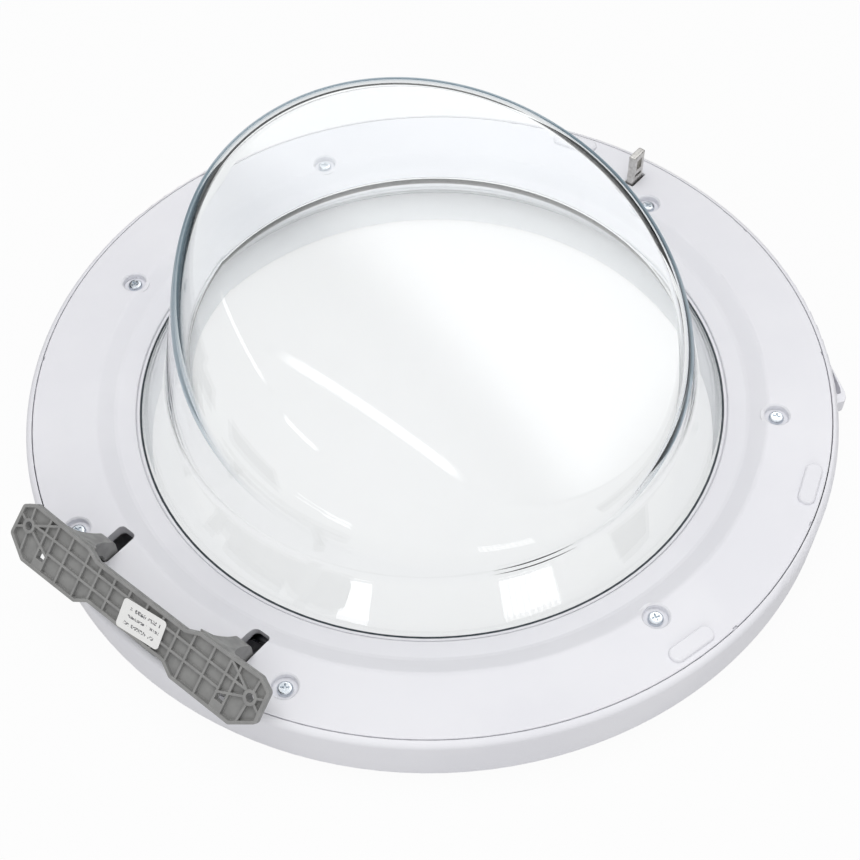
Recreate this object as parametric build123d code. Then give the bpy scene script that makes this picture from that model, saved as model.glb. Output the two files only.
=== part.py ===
"""Round front-loader door lying on its front face: cover, ring, glass bowl, hinge and latch.

The origin is on the door's axis at the front face. +Z points to the inner side, where the bowl
stands. The hinge is towards -X and the latch towards +X. All lengths are in millimetres.
"""
from build123d import *
from math import atan, cos, hypot, radians, sin, sqrt
import os

# Ring and cover
FACE_Z = 36.0            # flat band of the inner ring above the front face
SHELL = 2.5              # wall of the inner ring
RING_BORE_R = 165.0      # inner edge of the ring, where the glass shows
RING_LIP_Z = 30.2        # height of that edge
BAND_R = 178.0           # foot of the slope up to the flat band
BAND_Z = 31.4
CREST_R = 188.3          # top of the slope
RING_R = 223.2           # outer edge of the ring
SKIRT_Z = 29.0           # lower edge of the ring's skirt
CREST_ROUND = 6.0
BAND_ROUND = 7.0
RING_EDGE = 0.8
BAND_UNDER = 0.6         # the underside's corners stand out by this much from those on top
CREST_UNDER = 0.9
BEAD_Z = 29.2            # narrow bead along the bore, below the lip
BEAD_R = 166.4
GROOVE_R = 166.9         # groove between bead and lip
GROOVE_Z = 28.6
CLAMP_RIB = (176.6, 179.2)   # rib below the ring that holds the glass flange down
CLAMP_GAP = 0.1
COVER_R = 227.4          # outer radius of the front cover
COVER_FOOT_R = 226.2     # the cover's side wall draws in towards the front
COVER_BORE_R = 160.0     # front opening
COVER_WALL = 3.2
COVER_INNER_R = 223.7
COVER_TOP_Z = 35.6
CORNER_R = 7.0           # round of the front edge
EDGE_R = 3.5             # round of the edge beside the seam
INSIDE_R = 3.0           # round inside the channel
LIP = 2.2                # slanted lip of the front opening
LAND = (171.0, 182.0)    # ledge that carries the glass flange, inner and outer radius
LAND_BACK = 3.4          # the inner wall behind the ledge

# Glass bowl
GLASS_T = 5.0
FLANGE_R = 184.0
FLANGE_Z = 19.5          # underside of the flange
WALL_R = 152.6           # outside of the wall, carried down to WALL_Z
WALL_Z = 27.5
WALL_SLOPE = 0.206       # inward lean of the wall for each unit of height
FLARE_R = 165.0          # outside of the flared foot where it passes under the ring, at FLARE_Z
FLARE_Z = 27.0
FLARE_TOP_Z = 52.0       # height at which the wall turns into the flared foot
FLARE_TOP_ROUND = 12.0
FOOT_ROUND = 10.0        # outside round between flange and flared foot
FLANGE_EDGE_R = 1.2
SEAL_Z = (27.9, 29.0)    # dark seal in the joint between glass and ring, lower and upper edge
SEAL_GAP = 0.12
END_Z = 118.1            # middle of the slanted end above the front face
END_TILT = 18.1          # slant of the end, degrees
END_DIRECTION = 80.0     # side on which the end is highest, degrees from +X
END_DOME_R = 900.0       # the end bulges slightly
END_RIM_R = 135.0        # mean radius of the end's rim
RIM_ROUND = 14.0         # outside round of the rim

# Screws: pan heads in round recesses of the ring
RECESS_R = 6.7
RECESS_DEPTH = 3.9
RECESS_WALL = 2.2
SCREW_R = 1.95
SCREW_CLEAR = 0.05
SCREW_HOLE_R = 2.2
HEAD_R = 4.1
HEAD_H = 2.6
SCREW_LENGTH = 16.0
SHORT_SCREW_LENGTH = 9.0
BOSS_R = 4.2
RING_SCREW_R = 193.0
RING_SCREW_ANGLES = (106.0, 60.5, 355.0, 300.5, 255.0)
HINGE_SCREWS = ((211.5, 157.8), (207.0, 199.2))
SCREW_TURN = 37.0        # each screw stopped a little further round than the one before
CROSS = (4.4, 1.0, 1.3)  # driver recess: length, width and depth
HEAD_ROUND = 1.6
POINT = 1.0              # chamfer of a screw's point
RECESS_EDGE = 0.9        # bevel round a recess
BOSS_GAP = 0.2           # left between a boss and what the screw pulls on to it

# Pads moulded on the ring
PAD_R = 215.8
PAD_ANGLES = (288.3, 255.8, 13.6)
PAD_LENGTH = 27.0
PAD_WIDTH = 9.0
PAD_HEIGHT = 2.2
PAD_ROUND = 1.2
PAD_FLAT = 0.6           # straight part of a pad's end
NOTCH_ANGLES = (313.0, 282.0, 262.0, 340.0, 25.0, 80.0, 125.0)
NOTCH_WIDTH = 3.0
NOTCH_DEPTH = 0.9

# Hinge
HINGE_Y = 9.3            # middle of the hinge along its axis
ARM_OFFSET = 48.4        # each arm from that middle
PIVOT_X = -196.5
PIVOT_Z = 26.0
SLOT_IN_X = -179.3
SLOT_OUT_X = -202.2
SLOT_WIDTH = 11.0
SLOT_CORNER = 3.0
COLLAR = 2.0             # wall round each slot
COLLAR_Z = 29.5          # lower edge of that wall
BRACKET_X = -217.1       # middle of the line through the bracket's two screw holes
BRACKET_Z = 56.35
BRACKET_TILT = 44.0      # outward tilt of the bracket from lying parallel to the ring
BRACKET_DEPTH = 3.8
BRACKET_HOLE_X = 77.7
BRACKET_HOLE_R = 2.3
BRACKET_BOSS_R = 3.9
BRACKET_BOSS_DEPTH = 6.0
BRACKET_WALL = 1.7
BRACKET_FLOOR = 1.3
BRACKET_CORNER = 2.6
BRACKET_BACK_R = 1.0     # round of the plate's back edge
BRACKET_RIGHT_HALF = (
    (26.5, -13.5), (34.0, -18.0), (73.5, -18.0), (86.6, -9.0),
    (86.0, 8.2), (78.5, 12.3), (39.0, 11.2), (31.0, 7.8),
)
RIB = 1.2
RIB_REACH = 60.0         # cross ribs before they are cut to the outline
RIB_DROP = 0.3           # ribs stop this far below the bracket's edge
CROSS_RIBS = (6.0, 17.0, 27.5, 37.0, 49.5, 60.3, 66.5)
LONG_RIBS = ((2.0, 74.0), (-6.2, 60.3))
BOSS_RIBS = (25.0, 85.0, 150.0, 205.0, 265.0, 330.0)
BOSS_RIB_REACH = 20.0
CLIP_AT = (63.5, -14.4)
CLIP_SIZE = (7.0, 5.2)
CLIP_SLOT = 3.0          # opening beside each clip block
ARM_WIDTH = 9.0
ARM_FLARE = 23.0         # width of an arm where it meets the bracket
ARM_IN_X = -192.0        # faces of the arm's upright leg
ARM_OUT_X = -201.0
ARM_BEND_Z = 41.5
ARM_BEND_MIDDLE = (-192.5, 43.6)
ARM_CREST = ((-193.4, 45.0), (-203.8, 57.2), (-206.9, 62.6))
ARM_ROOT = ((-210.6, 58.6), (-213.0, 54.3), (-206.5, 48.0))
ARM_SPREAD = ((46.0, 0.0), (55.0, 1.5), (62.0, 7.0))
EYE_R = 5.5
BUSH_R = 3.8
BUSH_PROUD = 0.5         # bush beyond each side of the arm
PIN_R = 2.5
PIN_CLEAR = 0.05
PRESS_GAP = 0.02         # pieces pressed or clipped together
PIN_HEAD_R = 4.2
PIN_HEAD_H = 1.5
PIN_TAIL = 2.0           # pin beyond the carrier's ear
CLIP_T = 0.8
CLIP_RIM = 2.2
CLIP_OPENING = 1.4
SHEET = 2.0              # steel sheet of the hinge carrier
EAR_GAP = 15.2
EAR_WIDTH = 12.0
EAR_TOP_Z = 31.0
CARRIER_Z = 11.0
CARRIER_WIDTH = 14.0
CARRIER_ENDS = (72.0, -62.0)
CARRIER_FOOT_X = (-202.5, -189.0)
CARRIER_FOOT_REACH = 6.0
LABEL_SIZE = (28.0, 15.2)
LABEL_AT = (7.2, -4.3)
LABEL_TURN = 5.7
LABEL_T = 0.25
LABEL_CORNER = 2.0

# Latch
HOOK_IN_X = 199.3
HOOK_OUT_X = 210.7
HOOK_Y = 0.3
HOOK_T = 4.6
HOOK_TOP_Z = 57.2
LATCH_X = 205.0
LATCH_Z = 25.0
LATCH_PIN_R = 2.0
LATCH_EYE_R = 5.2
LATCH_SHEET = 1.5
LATCH_BASE_Z = 14.0
LATCH_CHEEKS = (-2.6, 10.2)
LATCH_SCREW_Y = (-10.2, 18.6)
LATCH_BASE = ((197.6, -15.0), (214.0, 23.5))
LATCH_BASE_CORNER = 3.0
LATCH_CHEEK_X = (199.0, 211.0)
LATCH_CHEEK_TOP_Z = 30.5
LATCH_PIN_HEAD = (3.4, 1.4)
LATCH_PIN_TAIL = 2.2
LATCH_PIN_GAP = 0.1
HOOK_EDGE_R = 0.9
HOOK_TOP_R = 0.8
HOOK_WINDOW = (5.2, 5.6, 48.6)   # catch window: width, height and middle
HOOK_SLIT = (6.4, 2.0, 41.6)
HOOK_RAMP = (35.0, 4.0, 5.0, 50.4)
HOOK_SLOT_GAPS = (0.8, 2.0, 1.0, 0.9)
SPRING_WIRE_R = 0.4
SPRING_R = 3.2
SPRING_PITCH = 0.95
SPRING_TURNS = 3.0
SPRING_LEG = 7.0
SPRING_GAP = 0.9         # between the hook and the first turn

# Handle grip on the rim
GRIP_Z = (19.5, 28.0)
GRIP_POINTS = ((319.5, 225.5), (307.5, 233.3), (306.4, 233.5), (305.8, 232.3), (305.0, 225.3))
GRIP_POCKET = ((314.5, 227.6), (308.2, 231.1), (307.2, 231.1), (306.9, 227.6))
GRIP_POCKET_DEPTH = 6.0
GRIP_NECK = ((319.0, 226.0), (305.6, 226.0))
GRIP_EDGE_R = 1.0
GRIP_BACK = (219.6, 223.1)
GRIP_BACK_ANGLES = (303.0, 322.0)
GRIP_BACK_Z = (8.0, 28.5)
GRIP_FEET = (304.6, 320.4)
GRIP_FOOT_R = 212.0
GRIP_FOOT_SIZE = (5.0, 9.0)
GRIP_SINK = 1.2          # overlap that joins a foot or the neck to the back
GRIP_GAP = 0.4
GRIP_SCREW_FLOOR = 1.0   # left of the cover below the grip's screw holes

TALL = 200.0


def polar(radius, angle):
    """Point at a radius and an angle in degrees, as X and Y."""
    return radius * cos(radians(angle)), radius * sin(radians(angle))


def post(x, y, radius, low, high):
    """Upright cylinder between two heights."""
    return Pos(x, y, (low + high) / 2) * Cylinder(radius, high - low)


def cross_pin(x, y, z, radius, length):
    """Cylinder along Y with its middle at a point."""
    return Pos(x, y, z) * Rot(90, 0, 0) * Cylinder(radius, length)


def block(low, high):
    """Box between two corners."""
    size = [b - a for a, b in zip(low, high)]
    middle = [(a + b) / 2 for a, b in zip(low, high)]
    return Pos(*middle) * Box(*size)


def turned(points, arc=360.0):
    """Solid of revolution about Z from a closed section of (radius, height) points."""
    outline = Polyline(*[(r, 0, z) for r, z in points], close=True)
    return revolve(make_face(outline), Axis.Z, revolution_arc=arc)


def round_rings(body, radius, size, low=-TALL, high=TALL):
    """Fillet of a body's circular edges of one radius that lie between two heights."""
    circles = body.edges().filter_by(GeomType.CIRCLE)
    chosen = circles.filter_by(lambda e: abs(e.radius - radius) < 0.01 and low < e.center().Z < high)
    return fillet(chosen, size)


def pan_screw(length):
    """Pan-head screw with a cross recess, its seat at the origin and its shank down."""
    shank = Pos(0, 0, -length / 2) * Cylinder(SCREW_R, length)
    shank = chamfer(shank.edges().group_by(Axis.Z)[0], POINT)
    head = Pos(0, 0, HEAD_H / 2) * Cylinder(HEAD_R, HEAD_H)
    head = fillet(head.edges().group_by(Axis.Z)[-1], HEAD_ROUND)
    long, wide, deep = CROSS
    for turn in (0, 90):
        head -= Pos(0, 0, HEAD_H) * Rot(0, 0, turn) * Box(long, wide, 2 * deep)
    return shank + head


def screws_at(places, seat_z, length):
    """Group of equal screws, one at each (X, Y), turned a little differently."""
    screw = pan_screw(length)
    return [Pos(x, y, seat_z) * Rot(0, 0, SCREW_TURN * i) * screw for i, (x, y) in enumerate(places)]


def ring_screw_places():
    """Centres of the screws that hold the ring to the cover."""
    return [polar(RING_SCREW_R, a) for a in RING_SCREW_ANGLES]


def hinge_screw_places():
    """Centres of the screws that hold the hinge carrier under the ring."""
    return [polar(r, a) for r, a in HINGE_SCREWS]


def latch_screw_places():
    """Centres of the screws that hold the latch holder."""
    return [(LATCH_X, y) for y in LATCH_SCREW_Y]


def grip_screw_places():
    """Centres of the screws that hold the handle grip's feet."""
    return [polar(GRIP_FOOT_R, a) for a in GRIP_FEET]


def arm_centres():
    """Y of the two hinge arms, upper one first."""
    return (HINGE_Y + ARM_OFFSET, HINGE_Y - ARM_OFFSET)


def end_ball(depth):
    """Ball whose skin is the bowl's domed, slanted end, set in by a depth."""
    sag = END_DOME_R - sqrt(END_DOME_R**2 - END_RIM_R**2)
    lean = radians(END_TILT)
    side = polar(-sin(lean), END_DIRECTION)
    reach = sag - END_DOME_R
    centre = (side[0] * reach, side[1] * reach, END_Z + cos(lean) * reach)
    return Pos(*centre) * Sphere(END_DOME_R - depth)


def bowl_lines(depth):
    """Wall and flared foot of the bowl, set in by a depth, each as a radius at height 0 and a slope."""
    flare_slope = (FLARE_R - WALL_R + WALL_SLOPE * (FLARE_TOP_Z - WALL_Z)) / (FLARE_TOP_Z - FLARE_Z)
    wall_r = WALL_R + WALL_SLOPE * WALL_Z - depth / cos(atan(WALL_SLOPE))
    flare_r = FLARE_R + flare_slope * FLARE_Z - depth / cos(atan(flare_slope))
    return (wall_r, WALL_SLOPE), (flare_r, flare_slope)


def bowl_body(depth, base_z, base_r):
    """Filled bowl, set in by a depth: flared foot and wall cut by the slanted end, with rounded corners."""
    (wall_r, wall_slope), (flare_r, flare_slope) = bowl_lines(depth)
    foot_z = FLANGE_Z + GLASS_T - depth
    foot_r = flare_r - flare_slope * foot_z
    turn_z = (flare_r - wall_r) / (flare_slope - wall_slope)
    turn_r = wall_r - wall_slope * turn_z
    top_r = wall_r - wall_slope * TALL
    body = turned([
        (0, base_z), (base_r, base_z), (base_r, foot_z), (foot_r, foot_z),
        (turn_r, turn_z), (top_r, TALL), (0, TALL),
    ])
    body = round_rings(body, foot_r, FOOT_ROUND + depth)
    body = round_rings(body, turn_r, FLARE_TOP_ROUND + depth)
    body = body & end_ball(depth)
    rim = body.edges().sort_by(lambda e: e.center().Z)[-1]
    return fillet(rim, RIM_ROUND - depth)


def make_door_glass():
    """Pressed glass bowl with a flat clamping flange, a flared foot and a slanted end."""
    outer = bowl_body(0.0, FLANGE_Z, FLANGE_R)
    inner = bowl_body(GLASS_T, FLANGE_Z - GLASS_T, FLANGE_R + GLASS_T)
    return round_rings(outer - inner, FLANGE_R, FLANGE_EDGE_R)


def make_glass_seal():
    """Dark seal ring that fills the joint between the glass and the ring's bead."""
    _, (flare_r, flare_slope) = bowl_lines(0.0)
    low, high = SEAL_Z
    outer = RING_BORE_R - SEAL_GAP
    inner = [flare_r - flare_slope * z + SEAL_GAP / cos(atan(flare_slope)) for z in SEAL_Z]
    return turned([(inner[0], low), (outer, low), (outer, high), (inner[1], high)])


def make_front_cover():
    """White front cover: a round channel with a slanted inner wall that carries the glass flange."""
    land_in, land_out = LAND
    cover = turned([
        (COVER_BORE_R + LIP, 0), (COVER_FOOT_R, 0), (COVER_R, COVER_TOP_Z), (COVER_INNER_R, COVER_TOP_Z),
        (COVER_INNER_R, COVER_WALL), (COVER_BORE_R + 2 * LIP, COVER_WALL),
        (land_in + LAND_BACK, FLANGE_Z - COVER_WALL), (land_out, FLANGE_Z - COVER_WALL),
        (land_out, FLANGE_Z), (land_in, FLANGE_Z), (COVER_BORE_R, LIP),
    ])
    cover = round_rings(cover, COVER_FOOT_R, CORNER_R)
    cover = round_rings(cover, COVER_R, EDGE_R)
    cover = round_rings(cover, COVER_INNER_R, INSIDE_R, high=CORNER_R)
    ring_boss_z = FACE_Z - RECESS_DEPTH - SHELL - BOSS_GAP
    posts = [(place, ring_boss_z, ring_boss_z - SCREW_LENGTH) for place in ring_screw_places()]
    posts += [(place, LATCH_BASE_Z, COVER_WALL) for place in latch_screw_places()]
    posts += [(place, GRIP_BACK_Z[0], GRIP_SCREW_FLOOR) for place in grip_screw_places()]
    for (x, y), top, bottom in posts:
        cover += post(x, y, BOSS_R, COVER_WALL / 2, top)
        cover -= post(x, y, SCREW_R + SCREW_CLEAR, bottom, top + 1)
    (first, _), (last, _) = GRIP_POINTS[0], GRIP_POINTS[-1]
    span = ((first, GRIP_FOOT_R), (first, COVER_R + LIP), (last, COVER_R + LIP), (last, GRIP_FOOT_R))
    window = grip_prism(span, GRIP_Z[0], GRIP_Z[1])
    return cover - offset(window, GRIP_GAP)


def rounded_hole(low, high, corner, bottom, top):
    """Prism with a rounded rectangle section between two heights."""
    size = (high[0] - low[0], high[1] - low[1])
    middle = ((low[0] + high[0]) / 2, (low[1] + high[1]) / 2)
    return Pos(*middle, bottom) * extrude(RectangleRounded(*size, corner), top - bottom)


def make_pad(angle):
    """Long low pad on the ring's flat band."""
    outline = RectangleRounded(PAD_WIDTH, PAD_LENGTH, (PAD_WIDTH - PAD_FLAT) / 2)
    pad = extrude(outline, PAD_HEIGHT + SHELL / 2)
    pad = fillet(pad.edges().group_by(Axis.Z)[-1], PAD_ROUND)
    return Rot(0, 0, angle) * Pos(PAD_R, 0, FACE_Z - SHELL / 2) * pad


def make_inner_ring():
    """White inner ring: sloped band, flat band, skirt, screw recesses, hinge slots and pads."""
    under = FACE_Z - SHELL
    inside = RING_R - SHELL
    ring = turned([
        (RING_BORE_R, RING_LIP_Z - SHELL), (BAND_R + BAND_UNDER, BAND_Z - SHELL),
        (CREST_R + CREST_UNDER, under), (inside, under), (inside, SKIRT_Z), (RING_R, SKIRT_Z),
        (RING_R, FACE_Z), (CREST_R, FACE_Z), (BAND_R, BAND_Z), (GROOVE_R, RING_LIP_Z),
        (GROOVE_R, GROOVE_Z), (BEAD_R, GROOVE_Z), (BEAD_R, BEAD_Z), (RING_BORE_R, BEAD_Z),
    ])
    ring = round_rings(ring, CREST_R, CREST_ROUND)
    ring = round_rings(ring, BAND_R, BAND_ROUND)
    ring = round_rings(ring, RING_R, RING_EDGE, low=under)
    ring = round_rings(ring, GROOVE_R, RING_EDGE, low=BEAD_Z)
    for angle in PAD_ANGLES:
        ring += make_pad(angle)
    rib_in, rib_out = CLAMP_RIB
    rib_z = FLANGE_Z + GLASS_T + CLAMP_GAP
    rib_top = RING_LIP_Z - SHELL / 2
    ring += turned([(rib_in, rib_z), (rib_out, rib_z), (rib_out, rib_top), (rib_in, rib_top)])
    floor_z = FACE_Z - RECESS_DEPTH
    for x, y in ring_screw_places() + hinge_screw_places():
        ring += post(x, y, RECESS_R + RECESS_WALL, floor_z - SHELL, FACE_Z - SHELL / 2)
        bevel = Cone(RECESS_R, RECESS_R + RECESS_EDGE, RECESS_EDGE)
        ring -= post(x, y, RECESS_R, floor_z, FACE_Z + 1) + Pos(x, y, FACE_Z - RECESS_EDGE / 2) * bevel
        ring -= post(x, y, SCREW_HOLE_R, floor_z - SHELL - 1, FACE_Z)
    half = SLOT_WIDTH / 2
    wide = half + COLLAR
    skin = SHELL / 2
    below_skin = turned([
        (RING_BORE_R, COLLAR_Z), (inside, COLLAR_Z), (inside, FACE_Z - skin), (CREST_R, FACE_Z - skin),
        (BAND_R, BAND_Z - skin),
    ])
    for y in arm_centres():
        low = (SLOT_OUT_X - COLLAR, y - wide)
        high = (SLOT_IN_X + COLLAR, y + wide)
        ring += rounded_hole(low, high, SLOT_CORNER + COLLAR, COLLAR_Z, FACE_Z) & below_skin
    for y in arm_centres():
        ring -= rounded_hole((SLOT_OUT_X, y - half), (SLOT_IN_X, y + half), SLOT_CORNER, 0, TALL)
    inner, outer, near, far = HOOK_SLOT_GAPS
    low = (HOOK_IN_X - inner, HOOK_Y - near)
    high = (HOOK_OUT_X + outer, HOOK_Y + HOOK_T + far)
    ring -= rounded_hole(low, high, HOOK_TOP_R, 0, TALL)
    for angle in NOTCH_ANGLES:
        ring -= Rot(0, 0, angle) * Pos(RING_R, 0, FACE_Z) * Box(2 * NOTCH_DEPTH, NOTCH_WIDTH, NOTCH_WIDTH)
    return ring


def bracket_plane():
    """Plane of the bracket's ribbed edge: X along the hinge towards -Y, Y towards the arms."""
    lean = radians(BRACKET_TILT)
    middle = (BRACKET_X, HINGE_Y, BRACKET_Z)
    return Plane(origin=middle, x_dir=(0, -1, 0), z_dir=(-sin(lean), 0, cos(lean)))


def bracket_outline():
    """Dog-bone outline of the bracket: two wide ends and a narrow middle."""
    left = [(-x, y) for x, y in reversed(BRACKET_RIGHT_HALF)]
    face = make_face(Polyline(*BRACKET_RIGHT_HALF, *left, close=True))
    return fillet(face.vertices(), BRACKET_CORNER)


def bracket_ribs():
    """Cross ribs, long ribs, ribs round the two bosses and the two clip blocks, all overlong."""
    tall = 2 * BRACKET_DEPTH
    ribs = [Box(2 * reach, RIB, tall).moved(Pos(0, y, 0)) for y, reach in LONG_RIBS]
    for side in (-1, 1):
        ribs += [Pos(side * x, 0, 0) * Box(RIB, RIB_REACH, tall) for x in CROSS_RIBS]
        for angle in BOSS_RIBS:
            turn = angle if side > 0 else 180 - angle
            rib = Pos(BOSS_RIB_REACH / 2, 0, 0) * Box(BOSS_RIB_REACH, RIB, tall)
            ribs.append(Pos(side * BRACKET_HOLE_X, 0, 0) * Rot(0, 0, turn) * rib)
        ribs.append(Pos(side * CLIP_AT[0], CLIP_AT[1], 0) * Box(*CLIP_SIZE, tall))
    return ribs


def make_arm(y):
    """Gooseneck arm: an eye inside the ring, an upright leg through the slot and a flared root."""
    crest, shoulder, top = ARM_CREST
    bend = (ARM_IN_X, ARM_BEND_Z)
    profile = Line((ARM_IN_X, PIVOT_Z), bend) + ThreePointArc(bend, ARM_BEND_MIDDLE, crest)
    profile += Polyline(crest, shoulder, top, *ARM_ROOT, (ARM_OUT_X, ARM_BEND_Z), (ARM_OUT_X, PIVOT_Z))
    profile += Line((ARM_OUT_X, PIVOT_Z), (ARM_IN_X, PIVOT_Z))
    slab = extrude(Plane.XZ * make_face(profile), ARM_FLARE, both=True)
    (low, _), (mid, mid_out), (high, high_out) = ARM_SPREAD
    neck = ARM_WIDTH / 2
    right = [(neck, low), (neck + mid_out, mid), (neck + high_out, high)]
    left = [(-x, z) for x, z in right]
    width = Line((neck, 0), right[0]) + ThreePointArc(*right)
    width += Polyline(right[2], (right[2][0], TALL), (left[2][0], TALL), left[2])
    width += ThreePointArc(left[2], left[1], left[0]) + Polyline(left[0], (-neck, 0), (neck, 0))
    arm = slab & extrude(Plane.YZ * make_face(width), 2 * TALL, both=True)
    return Pos(0, y, 0) * arm + cross_pin(PIVOT_X, y, PIVOT_Z, EYE_R, ARM_WIDTH)


def make_hinge_bracket():
    """Grey moulded hinge bracket: ribbed plate with two screw holes and two gooseneck arms."""
    outline = bracket_outline()
    room = extrude(offset(outline, -BRACKET_WALL), -(BRACKET_DEPTH - BRACKET_FLOOR))
    plate = extrude(outline, -BRACKET_DEPTH)
    body = fillet(plate.edges().group_by(Axis.Z)[0], BRACKET_BACK_R) - room
    inside = Pos(0, 0, -RIB_DROP) * extrude(offset(outline, -BRACKET_WALL / 2), RIB_DROP - BRACKET_DEPTH)
    body += (Part() + bracket_ribs()) & inside
    for side in (-1, 1):
        boss = Pos(side * BRACKET_HOLE_X, 0, -BRACKET_BOSS_DEPTH / 2)
        body += boss * Cylinder(BRACKET_BOSS_R, BRACKET_BOSS_DEPTH)
        body -= boss * Cylinder(BRACKET_HOLE_R, 2 * BRACKET_BOSS_DEPTH)
        opening_y = CLIP_AT[1] + (CLIP_SIZE[1] + CLIP_SLOT) / 2
        opening = Box(CLIP_SIZE[0] - 2 * RIB, CLIP_SLOT, 4 * BRACKET_DEPTH)
        body -= Pos(side * CLIP_AT[0], opening_y, 0) * opening
    body = bracket_plane() * body
    for y in arm_centres():
        body += make_arm(y)
    for y in arm_centres():
        body -= cross_pin(PIVOT_X, y, PIVOT_Z, BUSH_R + PRESS_GAP, 2 * ARM_WIDTH)
    return body


def make_hinge_label():
    """Blank white label stuck across the bracket's ribs."""
    sheet = extrude(RectangleRounded(*LABEL_SIZE, LABEL_CORNER), LABEL_T)
    return bracket_plane() * Pos(*LABEL_AT, PRESS_GAP) * Rot(0, 0, LABEL_TURN) * sheet


def make_hinge_bush(y):
    """Plain bush pressed into an arm's eye."""
    length = ARM_WIDTH + 2 * BUSH_PROUD
    bush = cross_pin(PIVOT_X, y, PIVOT_Z, BUSH_R, length)
    return bush - cross_pin(PIVOT_X, y, PIVOT_Z, PIN_R + PIN_CLEAR, 2 * length)


def make_hinge_pin(y):
    """Headed steel pin through a bush and both ears of the carrier."""
    reach = EAR_GAP / 2 + SHEET
    shank = Cylinder(PIN_R, 2 * (reach + PIN_TAIL))
    shank = chamfer(shank.edges().group_by(Axis.Z)[0], PIN_R / 4)
    head = Pos(0, 0, reach + LATCH_PIN_GAP + PIN_HEAD_H / 2) * Cylinder(PIN_HEAD_R, PIN_HEAD_H)
    head = fillet(head.edges().group_by(Axis.Z)[-1], PIN_HEAD_H / 3)
    return Pos(PIVOT_X, y, PIVOT_Z) * Rot(-90, 0, 0) * (shank + head)


def make_pin_clip(x, y, z, radius):
    """Push-on retaining ring on a pin's plain end."""
    outer = radius + CLIP_RIM
    ring = Cylinder(outer, CLIP_T) - Cylinder(radius + PRESS_GAP, 2 * CLIP_T)
    ring -= Pos(outer, 0, 0) * Box(2 * outer, CLIP_OPENING, 2 * CLIP_T)
    return Pos(x, y, z) * Rot(90, 0, 0) * ring


def make_hinge_carrier():
    """Folded steel carrier under the ring: base, ears for the pins and two screw feet."""
    foot_top = FACE_Z - RECESS_DEPTH - SHELL - BOSS_GAP / 2
    half = CARRIER_WIDTH / 2
    upper_end, lower_end = CARRIER_ENDS
    low = CARRIER_Z
    body = block((PIVOT_X - half, lower_end, low), (PIVOT_X + half, upper_end, low + SHEET))
    ear_half = EAR_WIDTH / 2
    for y in arm_centres():
        for side in (-1, 1):
            near = y + side * (EAR_GAP + SHEET) / 2
            start = (PIVOT_X - ear_half, near - SHEET / 2, low)
            body += block(start, (PIVOT_X + ear_half, near + SHEET / 2, EAR_TOP_Z))
        body -= cross_pin(PIVOT_X, y, PIVOT_Z, PIN_R + PRESS_GAP, 2 * (EAR_GAP + SHEET))
    foot_in, foot_out = CARRIER_FOOT_X
    for end, side, (x, y) in zip(CARRIER_ENDS, (1, -1), hinge_screw_places()):
        near, far = sorted((end, end - side * SHEET))
        body += block((foot_in, near, low), (foot_out, far, foot_top))
        near, far = sorted((end - side * SHEET, y + side * CARRIER_FOOT_REACH))
        body += block((foot_in, near, foot_top - SHEET), (foot_out, far, foot_top))
        body -= post(x, y, SCREW_R + SCREW_CLEAR, 0, TALL)
    return body


def make_latch_hook():
    """Nickel latch hook: flat plate with a catch window, turning on a pin under the ring."""
    middle = HOOK_Y + HOOK_T / 2
    plate = block((HOOK_IN_X, HOOK_Y, LATCH_Z), (HOOK_OUT_X, HOOK_Y + HOOK_T, HOOK_TOP_Z))
    plate = fillet(plate.edges().filter_by(Axis.Z), HOOK_EDGE_R)
    plate = fillet(plate.edges().group_by(Axis.Z)[-1], HOOK_TOP_R)
    plate += cross_pin(LATCH_X, middle, LATCH_Z, LATCH_EYE_R, HOOK_T)
    for wide, tall, z in (HOOK_WINDOW, HOOK_SLIT):
        plate -= Pos(LATCH_X, middle, z) * Box(wide, 4 * HOOK_T, tall)
    turn, deep, tall, z = HOOK_RAMP
    plate -= Pos(LATCH_X, HOOK_Y, z) * Rot(turn, 0, 0) * Box(HOOK_WINDOW[0], deep, tall)
    return plate - cross_pin(LATCH_X, middle, LATCH_Z, LATCH_PIN_R + PIN_CLEAR, 2 * HOOK_T)


def make_latch_holder():
    """Folded steel holder: base on two posts and two cheeks for the latch pin."""
    low, high = LATCH_BASE
    base = block((*low, LATCH_BASE_Z), (*high, LATCH_BASE_Z + LATCH_SHEET))
    body = fillet(base.edges().filter_by(Axis.Z), LATCH_BASE_CORNER)
    inner, outer = LATCH_CHEEK_X
    for y in LATCH_CHEEKS:
        body += block((inner, y, LATCH_BASE_Z), (outer, y + LATCH_SHEET, LATCH_CHEEK_TOP_Z))
    for x, y in latch_screw_places():
        body -= post(x, y, SCREW_HOLE_R, 0, TALL)
    return body - cross_pin(LATCH_X, 0, LATCH_Z, LATCH_PIN_R + PRESS_GAP, TALL)


def make_latch_pin():
    """Headed pin through both cheeks, the hook and the spring."""
    head_r, head_h = LATCH_PIN_HEAD
    low = LATCH_CHEEKS[0] - LATCH_PIN_GAP
    high = LATCH_CHEEKS[1] + LATCH_SHEET + LATCH_PIN_TAIL
    shank = Pos(0, 0, (low + high) / 2) * Cylinder(LATCH_PIN_R, high - low)
    shank = chamfer(shank.edges().group_by(Axis.Z)[-1], LATCH_PIN_R / 4)
    head = Pos(0, 0, low - head_h / 2) * Cylinder(head_r, head_h)
    head = fillet(head.edges().group_by(Axis.Z)[0], head_h / 3)
    return Pos(LATCH_X, 0, LATCH_Z) * Rot(-90, 0, 0) * (shank + head)


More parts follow.
